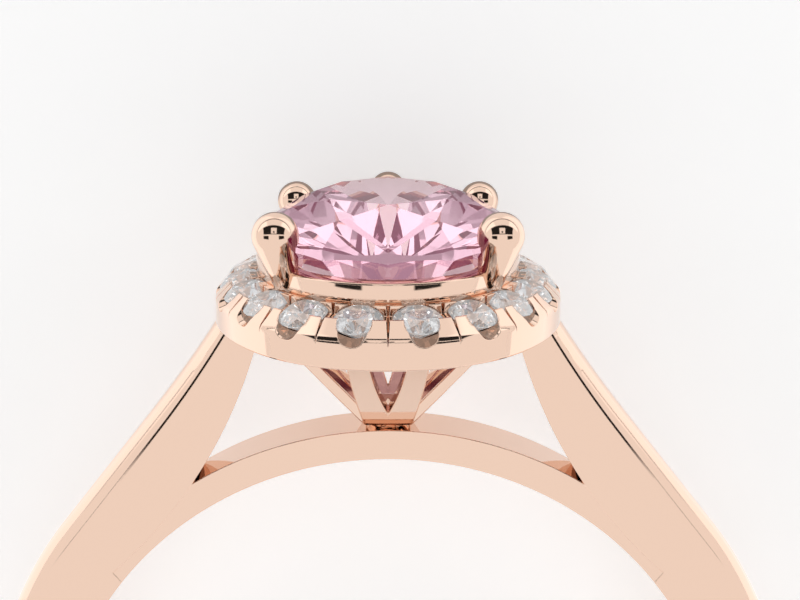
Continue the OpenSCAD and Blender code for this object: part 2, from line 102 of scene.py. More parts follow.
class HeadSizes(bpy.types.PropertyGroup):
    """Sizes of the halo, the gallery rail, the prongs and the basket"""

    half_width: size("Half width", "Half the width of the centre stone", 3.04)
    round_len: size("Round end", "Length of the stone's round end", 3.83)
    point_len: size("Pointed end", "Length of the stone's pointed end", 5.03)
    front_r: size("Front radius", "Radius of the stone's outline at the front", 2.6)
    ahead: size("Ahead", "How far the stone's widest line lies in front of the band", 0.53)
    girdle_z: size("Girdle height", "Height of the stone's girdle", 14.28)
    girdle: size("Girdle", "Thickness of the stone's girdle", 0.24)
    stone_gap: size("Stone gap", "Clearance between a stone and the metal", 0.03)
    ball_r: size("Ball radius", "Radius of a prong's ball", 0.513)
    ball_up: size("Ball height", "Height of a ball's middle above the girdle", 0.19)
    ball_out: size("Ball reach", "How far outside the girdle a ball's middle stands", 0.25)
    tip_ball_out: size("Tip ball reach", "The same for the prong at the tip", 0.17)
    front_lift: size("Front lift", "How much higher the front prongs' balls stand", 0.1)
    prong_sink: size("Prong sink", "How far a prong's stem reaches below the rail's top", 0.34)
    prong_taper: turn("Prong taper", "Taper of a prong on each side", 13)
    front_turn: turn("Front turn",
                     "How far in front of the line across the stone the front prongs face", 35)
    back_turn: turn("Back turn", "How far behind that line the back prongs face", 31)
    rail_out: size("Rail reach", "How far the rail stands outside the girdle", 0.1)
    rail_t: size("Rail thickness", "Thickness of the rail", 0.45)
    rail_low: size("Rail bottom", "Height of the rail's lower edge above the halo's underside", 1.14)
    rail_top: size("Rail top", "Height of the rail's upper edge above the halo's underside", 1.57)
    rail_round: size("Rail rounding", "Rounding of the rail's edges", 0.06)
    melee_r: size("Halo stone radius", "Radius of a halo stone", 0.52)
    melee_line: size("Halo stone line", "How far outside the girdle the halo stones' middles lie",
                     0.4746)
    melee_up: size("Halo stone height", "Height of the halo stones' girdles above the halo's underside",
                   0.88)
    melee_tilt: turn("Halo stone tilt", "Outward tilt of the halo stones", 18)
    halo_out: size("Halo reach", "How far outside the girdle the halo's wall stands", 1.0791)
    crease_up: size("Crease", "Height of the crease under the tops of the outer blocks", 0.7)
    crease_in: size("Crease inset", "How far the crease lies inside the wall", 0.08)
    round_r: size("Wall rounding", "Radius that rounds the wall up to the crease", 0.22)
    block_w: size("Block top", "Width of the sloping top of an outer block", 0.27)
    inner_w: size("Inner block top", "Width of an inner block outside the rail", 0.17)
    notch_r: size("Notch radius", "Radius of the notch that shows each stone from outside", 0.33)
    notch_up: size("Notch height", "Height of the notch's middle above the stone's girdle", 0.13)
    inner_gap: size("Inner gap", "Half width of the gap between inner blocks", 0.265)
    split_w: size("Split", "Width of the split between two beads", 0.11)
    split_down: size("Split depth", "Depth of that split below the stones' girdles", 0.17)
    foot_w: size("Foot", "Half width of the basket's foot", 0.45)
    foot_lean: turn("Foot lean", "Outward lean of the foot's sides", 40)
    petal_at: size("Petal place", "Distance from the axis to a petal's plate at the bridge", 0.31)
    petal_low: size("Petal's end", "Distance along a petal from the bridge to its lower end", 0.22)
    foot_h: size("Foot height", "Height of the basket's foot", 0.5)
    petal_lean: turn("Petal lean", "Outward lean of the petals", 42)
    petal_t: size("Petal thickness", "Thickness of a petal", 0.28)
    petal_w: size("Petal width", "Half width of a petal at its broadest", 1.05)
    petal_foot_w: size("Petal foot", "Half width of a petal at the foot", 0.65)
    petal_mid: size("Petal middle", "Distance along a petal to its broadest place", 5.5)
    window_w: size("Window", "Half width of a petal's window", 0.46)
    window_up: size("Window tip", "Distance along a petal to the window's lower tip", 0.82)
    window_mid: size("Window middle", "Distance along a petal to the window's broadest place", 4.0)


class MetalFinish(bpy.types.PropertyGroup):
    """Colour and polish of the metal"""

    colour: tint("Colour", "Colour that the metal reflects", (0.86, 0.62, 0.49))
    roughness: bpy.props.FloatProperty(
        name="Roughness", description="Roughness of the polish", min=0, max=1, default=0.05)
    edge_radius: bpy.props.FloatProperty(
        name="Edge radius", description="How far the polish has rounded each edge",
        unit="LENGTH", min=0, default=0.03 * MM)


class StoneFinish(bpy.types.PropertyGroup):
    """Colours of the stones"""

    pink: tint("Pink", "Colour of the light that crosses the centre stone", (0.98, 0.93, 0.96))
    pink_body: tint("Pink body", "Colour that the centre stone keeps as light goes deeper",
                    (1.0, 0.76, 0.86))
    # Painted light: the centre stone's glow colour and strength are an emission that lifts its darkest
    # facets
    pink_painted_glow: tint("Pink glow", "Colour of the centre stone's darkest facets", (1.0, 0.12, 0.42))
    pink_depth: bpy.props.FloatProperty(
        name="Pink depth", description="How strongly the centre stone colours light, per metre",
        min=0, default=170)
    pink_painted_glow_strength: bpy.props.FloatProperty(
        name="Pink shine", description="Strength of the centre stone's glow", min=0, default=0.03)
    pink_ior: bpy.props.FloatProperty(
        name="Pink index", description="Refractive index of the centre stone",
        min=1, max=3, default=1.77)
    clear: tint("Clear", "Colour of the light that crosses the halo stones", (0.98, 0.99, 1.0))
    # Painted light: the halo stones' glow colour and strength are an emission that lifts their darkest
    # facets
    clear_painted_glow: tint("Clear glow", "Colour of the halo stones' darkest facets", (1.0, 1.0, 1.0))
    clear_painted_glow_strength: bpy.props.FloatProperty(
        name="Clear shine", description="Strength of the halo stones' glow", min=0, default=0.06)
    clear_ior: bpy.props.FloatProperty(
        name="Clear index", description="Refractive index of the halo stones",
        min=1, max=3, default=2.42)


class StudioSettings(bpy.types.PropertyGroup):
    """The camera, the table and the light"""

    camera_at: bpy.props.FloatVectorProperty(
        name="Camera", description="Place of the camera on the drawing of the standing ring",
        subtype="TRANSLATION", unit="LENGTH", size=3, default=(0.0, -25.88 * MM, 18.71 * MM))
    camera_dip: bpy.props.FloatProperty(
        name="Dip", description="How far the camera looks down on the standing ring",
        subtype="ANGLE", default=math.radians(8.387))
    lens: bpy.props.FloatProperty(
        name="Lens", description="Focal length", min=1, default=48.22)
    shift: bpy.props.FloatVectorProperty(
        name="Shift", description="Shift of the view across and up", size=2, default=(0.0149, -0.127))
    table_size: bpy.props.FloatProperty(
        name="Table", description="Width of the table", unit="LENGTH", min=0, default=0.6)
    light: bpy.props.FloatProperty(
        name="Light", description="Strength of the soft light all round", min=0, default=1.0)


def deselect_all():
    if bpy.context.object and bpy.context.object.mode != "OBJECT":
        bpy.ops.object.mode_set(mode="OBJECT")
    bpy.ops.object.select_all(action="DESELECT")


def make_active(piece):
    deselect_all()
    piece.select_set(True)
    bpy.context.view_layer.objects.active = piece


def finish_piece(piece, material, slot, *nodes):
    piece.data.materials.clear()
    piece.data.materials.append(material)
    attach(piece, "root")
    if nodes:
        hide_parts(*nodes)


def loft(name, rings, closed=False):
    """Joins rings of places, each a closed section, into a skin; an open row of rings gets end faces."""
    n, m = len(rings), len(rings[0])
    places = [tuple(p) for ring in rings for p in ring]
    faces = []
    for j in range(n if closed else n - 1):
        a, b = j * m, (j + 1) % n * m
        faces += [(a + k, a + (k + 1) % m, b + (k + 1) % m, b + k) for k in range(m)]
    if not closed:
        faces += [tuple(reversed(range(m))), tuple((n - 1) * m + k for k in range(m))]
    mesh = bpy.data.meshes.new(name)
    mesh.from_pydata(places, [], faces)
    piece = bpy.data.objects.new(name, mesh)
    bpy.context.scene.collection.objects.link(piece)
    face_outwards(piece)
    return piece


def face_outwards(piece):
    make_active(piece)
    bpy.ops.object.mode_set(mode="EDIT")
    bpy.ops.mesh.select_all(action="SELECT")
    bpy.ops.mesh.remove_doubles(threshold=1e-7)
    bpy.ops.mesh.normals_make_consistent(inside=False)
    bpy.ops.object.mode_set(mode="OBJECT")


def join(name, pieces):
    make_active(pieces[0])
    for piece in pieces[1:]:
        piece.select_set(True)
    bpy.ops.object.join()
    pieces[0].name = name
    pieces[0].data.name = name
    return pieces[0]


def copy_at(piece, place):
    """A copy of a piece with its own mesh, moved by a matrix."""
    make_active(piece)
    bpy.ops.object.duplicate()
    copy = bpy.context.object
    copy.data.transform(place)
    return copy


def cut(piece, tool):
    """Cuts a piece with another, which is used up."""
    make_active(piece)
    knife = piece.modifiers.new("cut", "BOOLEAN")
    knife.operation = "DIFFERENCE"
    knife.solver = "EXACT"
    knife.object = tool
    bpy.ops.object.modifier_apply(modifier="cut")
    mesh = tool.data
    bpy.data.objects.remove(tool)
    bpy.data.meshes.remove(mesh)


def round_edges(piece, width, angle=30, segments=2):
    """Bevels the edges that turn by more than an angle in degrees."""
    make_active(piece)
    bevel = piece.modifiers.new("round", "BEVEL")
    bevel.width = width
    bevel.segments = segments
    bevel.limit_method = "ANGLE"
    bevel.angle_limit = math.radians(angle)
    bevel.harden_normals = True
    bpy.ops.object.modifier_apply(modifier="round")


def smooth(piece, angle):
    """Shades a piece smooth, but for edges that turn by more than an angle in degrees."""
    make_active(piece)
    bpy.ops.object.shade_smooth_by_angle(angle=math.radians(angle))


def spun(name, profile, steps):
    """Turns a profile of distances and heights about the Z axis, as on a lathe."""
    mesh = bpy.data.meshes.new(name)
    mesh.from_pydata([(r, 0, z) for r, z in profile], [(i, i + 1) for i in range(len(profile) - 1)], [])
    piece = bpy.data.objects.new(name, mesh)
    bpy.context.scene.collection.objects.link(piece)
    make_active(piece)
    bpy.ops.object.mode_set(mode="EDIT")
    bpy.ops.mesh.select_all(action="SELECT")
    bpy.ops.mesh.spin(steps=steps, angle=2 * math.pi, center=(0, 0, 0), axis=(0, 0, 1))
    bpy.ops.object.mode_set(mode="OBJECT")
    face_outwards(piece)
    return piece


def lie_down(piece):
    piece.data.transform(DRAWING)


class Pear:
    """The outline of the centre stone: five arcs, each tangent to the next."""

    def __init__(self, head):
        self.half_w, self.tip, self.front_r = head.half_width, head.point_len, head.front_r
        self.ahead = head.ahead
        self.front_c = head.round_len - head.front_r
        self.bow_r = ((self.half_w ** 2 + self.front_c ** 2 - self.front_r ** 2)
                      / (2 * (self.half_w - self.front_r)))
        self.side_r = (self.half_w ** 2 + self.tip ** 2) / (2 * self.half_w)
        self.bow = math.atan2(self.front_c, self.bow_r - self.half_w)
        self.side = math.atan2(self.tip, self.side_r - self.half_w)

    def side_end(self, out):
        return math.acos((self.side_r - self.half_w) / (self.side_r + out)) if out < 0 else self.side

    def stretches(self, out):
        return [(self.front_r + out) * (math.pi / 2 - self.bow), (self.bow_r + out) * self.bow,
                (self.side_r + out) * self.side_end(out), max(out, 0) * (math.pi / 2 - self.side)]

    def place(self, a, out):
        """A place by the direction that it faces: -90 degrees is the front, 90 the tip."""
        if a < -self.bow:
            p = ((self.front_r + out) * math.cos(a), (self.front_r + out) * math.sin(a) - self.front_c)
        elif a < 0:
            p = (self.half_w - self.bow_r + (self.bow_r + out) * math.cos(a),
                 (self.bow_r + out) * math.sin(a))
        elif a <= self.side_end(out) + 1e-9:
            p = (self.half_w - self.side_r + (self.side_r + out) * math.cos(a),
                 (self.side_r + out) * math.sin(a))
        else:
            p = (out * math.cos(a), self.tip + out * math.sin(a))
        return p[0], p[1] - self.ahead

    def facing(self, s, out):
        front, bow, side, _ = self.stretches(out)
        if s < front:
            return -math.pi / 2 + s / (self.front_r + out)
        if s < front + bow:
            return -self.bow + (s - front) / (self.bow_r + out)
        if s < front + bow + side or out <= 0:
            return min((s - front - bow) / (self.side_r + out), self.side_end(out))
        return min(math.pi / 2, self.side + (s - front - bow - side) / out)

    def point(self, share, out):
        """A place by its share of the way round, from the front by the right to the tip and back."""
        right = share <= 0.5
        a = self.facing(2 * sum(self.stretches(out)) * (share if right else 1 - share), out)
        x, y = self.place(a, out)
        return x if right else -x, y, a if right else math.pi - a

    def sweep(self, name, section, steps):
        rings = []
        for j in range(steps):
            ring = []
            for out, z in section:
                x, y, _ = self.point(j / steps, out)
                ring.append((x, y, z))
            rings.append(ring)
        return loft(name, rings, closed=True)

    def frame_at(self, share, out, z, tilt):
        """The turn and the place of a halo stone, or of the split between two."""
        x, y, a = self.point(share, out)
        return (Matrix.Translation((x, y, z)) @ Matrix.Rotation(a, 4, "Z")
                @ Matrix.Rotation(tilt, 4, "Y"))


def new_material(name):
    material = bpy.data.materials.new(name)
    material.use_nodes = True
    tree = material.node_tree
    return material, tree.nodes, tree.links, tree.nodes["Principled BSDF"]


def maths(nodes, links, operation, a, b=0.0, c=0.0):
    """One step of arithmetic between values or the outputs of other nodes."""
    node = nodes.new("ShaderNodeMath")
    node.operation = operation
    for socket, value in zip(node.inputs, (a, b, c)):
        if isinstance(value, (int, float)):
            socket.default_value = value
        else:
            links.new(value, socket)
    return node.outputs["Value"]


def inside(nodes, links, value, low, high, soft=1.0):
    """1 between two limits, falling softly to 0 outside them."""
    rise = maths(nodes, links, "MULTIPLY_ADD", value, 1 / soft, 0.5 - low / soft)
    fall = maths(nodes, links, "MULTIPLY_ADD", value, -1 / soft, 0.5 + high / soft)
    least = maths(nodes, links, "MINIMUM", maths(nodes, links, "MINIMUM", rise, fall), 1.0)
    return maths(nodes, links, "MAXIMUM", least, 0.0)


def polish_group():
    """Faint hairlines and waves that a polishing wheel leaves."""
    if "Polish" in bpy.data.node_groups:
        return bpy.data.node_groups["Polish"]
    group = bpy.data.node_groups.new("Polish", "ShaderNodeTree")
    face = group.interface
    face.new_socket("Scale", in_out="INPUT", socket_type="NodeSocketFloat").default_value = 2000
    face.new_socket("Roughness", in_out="INPUT", socket_type="NodeSocketFloat").default_value = 0.05
    face.new_socket("Roughness", in_out="OUTPUT", socket_type="NodeSocketFloat")
    face.new_socket("Waves", in_out="OUTPUT", socket_type="NodeSocketFloat")
    nodes, links = group.nodes, group.links
    entry = nodes.new("NodeGroupInput")
    out = nodes.new("NodeGroupOutput")
    place = nodes.new("ShaderNodeTexCoord")
    stretch = nodes.new("ShaderNodeMapping")
    stretch.inputs["Scale"].default_value = (1, 1, 6)
    stretch.inputs["Rotation"].default_value = (0.3, 0.5, 0.2)
    links.new(place.outputs["Object"], stretch.inputs["Vector"])
    hairlines = nodes.new("ShaderNodeTexNoise")
    hairlines.inputs["Detail"].default_value = 4
    links.new(stretch.outputs["Vector"], hairlines.inputs["Vector"])
    links.new(entry.outputs["Scale"], hairlines.inputs["Scale"])
    waves = nodes.new("ShaderNodeTexNoise")
    waves.inputs["Scale"].default_value = 300
    waves.inputs["Detail"].default_value = 1
    links.new(place.outputs["Object"], waves.inputs["Vector"])
    spread = nodes.new("ShaderNodeMapRange")
    spread.inputs["From Min"].default_value = 0.35
    spread.inputs["From Max"].default_value = 0.75
    spread.inputs["To Min"].default_value = 0.6
    spread.inputs["To Max"].default_value = 1.8
    links.new(hairlines.outputs["Fac"], spread.inputs["Value"])
    rough = nodes.new("ShaderNodeMath")
    rough.operation = "MULTIPLY"
    links.new(spread.outputs["Result"], rough.inputs[0])
    links.new(entry.outputs["Roughness"], rough.inputs[1])
    links.new(rough.outputs["Value"], out.inputs["Roughness"])
    links.new(waves.outputs["Fac"], out.inputs["Waves"])
    return group


def metal():
    """The one metal of the ring, made when it is first asked for."""
    if "rose_gold_polished" in bpy.data.materials:
        return bpy.data.materials["rose_gold_polished"]
    finish = bpy.context.scene.haloring_metal
    material, nodes, links, shader = new_material("rose_gold_polished")
    shader.inputs["Base Color"].default_value = (*finish.colour, 1)
    shader.inputs["Metallic"].default_value = 1
    polish = nodes.new("ShaderNodeGroup")
    polish.node_tree = polish_group()
    polish.inputs["Scale"].default_value = 9000
    polish.inputs["Roughness"].default_value = finish.roughness
    links.new(polish.outputs["Roughness"], shader.inputs["Roughness"])
    edge = nodes.new("ShaderNodeBevel")
    edge.samples = 6
    edge.inputs["Radius"].default_value = finish.edge_radius
    bump = nodes.new("ShaderNodeBump")
    bump.inputs["Strength"].default_value = 0.15
    bump.inputs["Distance"].default_value = 0.01 * MM
    links.new(polish.outputs["Waves"], bump.inputs["Height"])
    links.new(edge.outputs["Normal"], bump.inputs["Normal"])
    links.new(bump.outputs["Normal"], shader.inputs["Normal"])
    return material


def stone_material(name, colour, index, glow, painted_glow_strength, body=None, depth=0.0):
    """A cut stone with a little painted light of its own, a glow that lifts its dark facets; a body
    colour deepens with the way through.
    """
    material, nodes, links, shader = new_material(name)
    shader.inputs["Base Color"].default_value = (*colour, 1)
    shader.inputs["Transmission Weight"].default_value = 1
    shader.inputs["IOR"].default_value = index
    shader.inputs["Roughness"].default_value = 0
    # Painted glow: the stone gives off light of its own, which brightens its dark facets
    shader.inputs["Emission Color"].default_value = (*glow, 1)
    shader.inputs["Emission Strength"].default_value = painted_glow_strength
    if body:
        soak = nodes.new("ShaderNodeVolumeAbsorption")
        soak.inputs["Color"].default_value = (*body, 1)
        soak.inputs["Density"].default_value = depth
        links.new(soak.outputs["Volume"], nodes["Material Output"].inputs["Volume"])
    return material


# Zones of the world, in degrees from straight up: ahead, towards the head, from and to; aside, the same
# on both sides, from and to; and the softness of the edges
DARK_PANEL = (4.5, 50, -50, 50, 2)
PANEL_OPENING = (8, 36, -13, 13, 1)
OPENING_PANE = (12, 20, -4, 4, 1)
SIDE_CARDS = (-22, -3, 24, 50, 2)
HORIZON_LINE = (84, 88, -80, 80, 1)
LOW_LIGHT_AHEAD = (53, 84, 4)
LOW_LIGHT_ASIDE = (30, 75, 6)
DARK_FLECKS = ((12, 26, -16, 16, 3), (44, 50, -60, 60, 3))
GLINTS = (30, 38, -1, 8, 3)
LOW_LIGHT_GAIN = 0.4
PANEL_DEPTH = 0.98
GLINT_GAIN = 2.0
# Zones of the table where painted shade and painted side light show only in the polish's reflections, in
# millimetres: from, to and softness
TABLE_SHADE_ASIDE = (-1, 7, 2)
TABLE_SHADE_AHEAD = (12.5, 19, 1)
TABLE_SIDES = (11, 90, 5)
TABLE_SHADE_DEPTH = 0.6
TABLE_SIDE_LIGHT = 1.3


class HALORING_OT_stage(bpy.types.Operator):
    """Adds the table, the camera and the studio light"""

    bl_idname = "haloring.stage"
    bl_label = "Stage"

    def execute(self, context):
        studio = context.scene.haloring_studio
        self.table(studio)
        self.camera(context, studio)
        self.light(context, studio)
        return {"FINISHED"}

    def table(self, studio):
        deselect_all()
        bpy.ops.mesh.primitive_plane_add(size=studio.table_size)
        table = bpy.context.object
        table.name = "table"
        material, nodes, links, shader = new_material("table_pale")
        grain = nodes.new("ShaderNodeTexNoise")
        place = nodes.new("ShaderNodeTexCoord")
        links.new(place.outputs["Object"], grain.inputs["Vector"])
        grain.inputs["Scale"].default_value = 900
        pale = nodes.new("ShaderNodeMapRange")
        pale.inputs["To Min"].default_value = 0.93
        pale.inputs["To Max"].default_value = 0.95
        links.new(grain.outputs["Fac"], pale.inputs["Value"])
        links.new(pale.outputs["Result"], shader.inputs["Base Color"])
        shader.inputs["Roughness"].default_value = 0.8
        shader.inputs["Specular IOR Level"].default_value = 0.2
        shader.inputs["Emission Color"].default_value = (1, 1, 1, 1)
        shader.inputs["Emission Strength"].default_value = 0.3
        self.painted_reflections(nodes, links, shader)
        table.data.materials.append(material)

    def painted_reflections(self, nodes, links, shader):
        """Paints reflections onto the table that only the polish sees: painted shade like a dark card,
        and painted bright light at the sides, while the camera sees the pale table.
        """
        place = nodes.new("ShaderNodeNewGeometry")
        parts = nodes.new("ShaderNodeSeparateXYZ")
        links.new(place.outputs["Position"], parts.inputs["Vector"])
        aside = maths(nodes, links, "ABSOLUTE", parts.outputs["X"])
        ahead = parts.outputs["Y"]

        def zone(value, limits):
            return inside(nodes, links, value, *[limit * MM for limit in limits])

        shade = maths(nodes, links, "MULTIPLY", zone(aside, TABLE_SHADE_ASIDE),
                      zone(ahead, TABLE_SHADE_AHEAD))
        dark = maths(nodes, links, "MULTIPLY", shade, TABLE_SHADE_DEPTH)
        # Only glossy rays see the painted dark shade and the painted bright glow; other rays see the
        # plain table
        mirrored = nodes.new("ShaderNodeLightPath").outputs["Is Glossy Ray"]
        painted_bright_reflection = nodes.new("ShaderNodeEmission")
        painted_bright_reflection.inputs["Strength"].default_value = TABLE_SIDE_LIGHT
        painted_dark_reflection = nodes.new("ShaderNodeEmission")
        painted_dark_reflection.inputs["Color"].default_value = (0.01, 0.006, 0.005, 1)
        surface = shader.outputs["BSDF"]
        for mask, card in ((zone(aside, TABLE_SIDES), painted_bright_reflection), (dark, painted_dark_reflection)):
            mix = nodes.new("ShaderNodeMixShader")
            links.new(maths(nodes, links, "MULTIPLY", mirrored, mask), mix.inputs["Fac"])
            links.new(surface, mix.inputs[1])
            links.new(card.outputs["Emission"], mix.inputs[2])
            surface = mix.outputs["Shader"]
        links.new(surface, nodes["Material Output"].inputs["Surface"])

    def camera(self, context, studio):
        at = DRAWING @ Vector(studio.camera_at)
        dip = studio.camera_dip
        ahead = DRAWING.to_3x3() @ Vector((0, math.cos(dip), -math.sin(dip)))
        up = DRAWING.to_3x3() @ Vector((0, math.sin(dip), math.cos(dip)))
        right = ahead.cross(up)
        data = bpy.data.cameras.new("camera")
        camera = bpy.data.objects.new("camera", data)
        context.scene.collection.objects.link(camera)
        turn = Matrix((right, up, -ahead)).transposed().to_4x4()
        camera.matrix_world = Matrix.Translation(at) @ turn
        data.sensor_width = 36
        data.lens = studio.lens
        data.shift_x, data.shift_y = studio.shift
        data.clip_start = 0.001
        data.clip_end = 10
        context.scene.camera = camera
        context.scene.view_settings.view_transform = "Standard"

    def light(self, context, studio):
        """Soft light from all sides, with the dark panes and edges that the polish mirrors."""
        world = bpy.data.worlds.new("studio")
        world.use_nodes = True
        context.scene.world = world
        nodes, links = world.node_tree.nodes, world.node_tree.links
        background = nodes["Background"]
        place = nodes.new("ShaderNodeTexCoord")
        parts = nodes.new("ShaderNodeSeparateXYZ")
        links.new(place.outputs["Generated"], parts.inputs["Vector"])
        x, y, z = parts.outputs["X"], parts.outputs["Y"], parts.outputs["Z"]

        # Angles of a direction from straight up, in degrees: towards the head, and across
        ahead = maths(nodes, links, "MULTIPLY", maths(nodes, links, "ARCTAN2", y, z), 180 / math.pi)
        across = maths(nodes, links, "MULTIPLY", maths(nodes, links, "ARCSINE", x), 180 / math.pi)
        aside = maths(nodes, links, "ABSOLUTE", across)

        def box(low, high, near, far, soft):
            return maths(nodes, links, "MULTIPLY", inside(nodes, links, ahead, low, high, soft),
                         inside(nodes, links, aside, near, far, soft))

        dark = maths(nodes, links, "SUBTRACT", box(*DARK_PANEL), box(*PANEL_OPENING))
        for card in (OPENING_PANE, SIDE_CARDS, HORIZON_LINE):
            dark = maths(nodes, links, "MAXIMUM", dark, box(*card))
        # Brighter light low at both sides, which the arms' rounded outside mirrors
        low = maths(nodes, links, "MULTIPLY", inside(nodes, links, ahead, *LOW_LIGHT_AHEAD),
                    inside(nodes, links, aside, *LOW_LIGHT_ASIDE))
        white = maths(nodes, links, "MULTIPLY_ADD", low, LOW_LIGHT_GAIN, 1.0)
        shaded = maths(nodes, links, "MULTIPLY_ADD", dark, -PANEL_DEPTH, 1.0)
        level = maths(nodes, links, "MULTIPLY", white, shaded)
        links.new(maths(nodes, links, "MULTIPLY", level, studio.light), background.inputs["Strength"])
        background.inputs["Color"].default_value = (1, 1, 1, 1)
        seen = nodes.new("ShaderNodeLightPath")

        # Light that has gone through a stone meets a dimmer room, with dark flecks and small glints
        through = nodes.new("ShaderNodeBackground")
        flecks = maths(nodes, links, "MAXIMUM", *[box(*fleck) for fleck in DARK_FLECKS])
        glints = box(*GLINTS)
        colour = nodes.new("ShaderNodeMix")
        colour.data_type = "RGBA"
        links.new(flecks, colour.inputs["Factor"])
        colour.inputs["A"].default_value = (0.66, 0.65, 0.66, 1)
        colour.inputs["B"].default_value = (0.12, 0.07, 0.09, 1)
        links.new(colour.outputs["Result"], through.inputs["Color"])
        room = nodes.new("ShaderNodeTexNoise")
        room.inputs["Scale"].default_value = 2.6
        room.inputs["Detail"].default_value = 1
        links.new(place.outputs["Generated"], room.inputs["Vector"])
        tone = nodes.new("ShaderNodeMapRange")
        tone.inputs["From Min"].default_value = 0.38
        tone.inputs["From Max"].default_value = 0.62
        tone.inputs["To Min"].default_value = 0.4
        tone.inputs["To Max"].default_value = 0.88
        links.new(room.outputs["Fac"], tone.inputs["Value"])
        glow = maths(nodes, links, "MULTIPLY_ADD", glints, GLINT_GAIN, tone.outputs["Result"])
        links.new(maths(nodes, links, "MULTIPLY", glow, studio.light), through.inputs["Strength"])
        crossing = nodes.new("ShaderNodeMixShader")
        links.new(seen.outputs["Is Transmission Ray"], crossing.inputs["Fac"])
        links.new(background.outputs["Background"], crossing.inputs[1])
        links.new(through.outputs["Background"], crossing.inputs[2])

        # The camera sees plain white behind the table
        plain = nodes.new("ShaderNodeBackground")
        plain.inputs["Color"].default_value = (1, 1, 1, 1)
        mix = nodes.new("ShaderNodeMixShader")
        links.new(seen.outputs["Is Camera Ray"], mix.inputs["Fac"])
        links.new(crossing.outputs["Shader"], mix.inputs[1])
        links.new(plain.outputs["Background"], mix.inputs[2])
        links.new(mix.outputs["Shader"], nodes["World Output"].inputs["Surface"])


class HALORING_OT_band(bpy.types.Operator):
    """Models the finger ring: the shank, the two shoulders and the bridge"""

    bl_idname = "haloring.band"
    bl_label = "Finger ring"

    def execute(self, context):
        band = context.scene.haloring_band
        body = self.body(band)
        round_edges(body, band.edge)
        bridge = self.bridge(band)
        round_edges(bridge, band.edge * 0.6)
        ring = join("finger_ring", [body, bridge])
        smooth(ring, 13.5)
        lie_down(ring)
        finish_piece(ring, metal(), "rose_gold", "setting")
        return {"FINISHED"}

    def body(self, band):
        """The band of the shank and the shoulders: each station has an outer and an inner end.

        Beside its two ends it keeps the direction outwards, and shares of the arms' inset and bulge.
        """
        shank_steps, arm_steps, dome_steps = 144, 108, 16
        # The shank takes on the arms' section over this angle, and an arm ends inside the halo
        blend = math.radians(26)
        top = band.head_z + 0.1 * MM
        past_flare = 1.04
        meet_r = math.hypot(band.meet_x, band.head_z)
        flare_turn = band.flare_len / band.flare_r
        meet_turn = math.acos((band.face_r + band.flare_r * (1 - math.cos(flare_turn))) / meet_r)
        leave = math.atan2(band.meet_x, band.head_z) + meet_turn
        straight = meet_r * math.sin(meet_turn) - band.flare_r * math.sin(flare_turn)
        out = Vector((math.sin(leave), math.cos(leave)))
        up = Vector((-math.cos(leave), math.sin(leave)))
        flare_c = (band.face_r + band.flare_r) * out + straight * up
        inner_c = Vector((band.inner_x, band.head_z)) + band.inner_r * Vector(
            (math.cos(band.inner_lean), math.sin(band.inner_lean)))
        stations = []
        for k in range(shank_steps + 1):
            a = math.pi + (leave - math.pi) * k / shank_steps
            ray = Vector((math.sin(a), math.cos(a)))
            share = max(0.0, 1 - (a - leave) / blend)
            share = share * share * (3 - 2 * share)
            stations.append((band.face_r * ray, ray, band.finger_r * ray, share, share))
        # The inner edge of a shoulder runs along a circle from the shank's end to inside the halo
        reach = inner_c.dot(out) - math.sqrt(band.inner_r ** 2 - inner_c.dot(up) ** 2)
        first = reach * out - inner_c
        last_z = top - inner_c.y
        last = Vector((-math.sqrt(band.inner_r ** 2 - last_z ** 2), last_z))
        turn_first = math.atan2(first.y, first.x) % (2 * math.pi)
        turn_last = math.atan2(last.y, last.x) % (2 * math.pi)
        length = straight + band.flare_len * past_flare
        for k in range(1, arm_steps + 1):
            s = length * k / arm_steps
            if s < straight:
                p, n = band.face_r * out + s * up, out
            else:
                f = (s - straight) / band.flare_r
                p = flare_c + band.flare_r * (up * math.sin(f) - out * math.cos(f))
                n = out * math.cos(f) - up * math.sin(f)
            a = turn_first + (turn_last - turn_first) * k / arm_steps
            stations.append((p, n, inner_c + band.inner_r * Vector((math.cos(a), math.sin(a))),
                             1 - (k / arm_steps) ** 2, 1))
        half = band.width / 2
        chamfer_slope = math.tan(math.radians(14))
        shank_line = 0.15
        chamfer_rise = 0.2
        rings = []
        for side in (-1, 1):
            row = reversed(stations[1:]) if side < 0 else stations
            for p, n, q, inset, bulge in row:
                edge = p - band.arm_inset * inset * n
                dome = band.dome + band.arm_inset * inset + band.arm_bulge * bulge
                dome_r = (half ** 2 + dome ** 2) / (2 * dome)
                line = band.arm_line * (shank_line + (1 - shank_line) * bulge)
                drop = line * chamfer_slope
                section = [(-half, -line), (drop - half, chamfer_rise * line)]
                for k in range(1, dome_steps):
                    y = -half + 2 * half * k / dome_steps
                    section.append((y, dome - dome_r + math.sqrt(dome_r ** 2 - y ** 2)))
                section += [(half - drop, chamfer_rise * line), (half, -line)]
                ring = [(side * q.x, half, q.y), (side * q.x, -half, q.y)]
                for y, rise in section:
                    e = edge + rise * n
                    ring.append((side * e.x, y, e.y))
                rings.append(ring)
        return loft("band", rings)

    def bridge(self, band):
        half = band.width / 2 - band.bridge_step
        reach, steps = math.radians(52.3), 60
        rings = []
        for k in range(steps + 1):
            a = reach * (2 * k / steps - 1)
            ray = Vector((math.sin(a), math.cos(a)))
            p, q = band.finger_r * ray, band.bridge_r * ray
            rings.append([(p.x, -half, p.y), (q.x, -half, q.y), (q.x, half, q.y), (p.x, half, p.y)])
        return loft("bridge", rings)


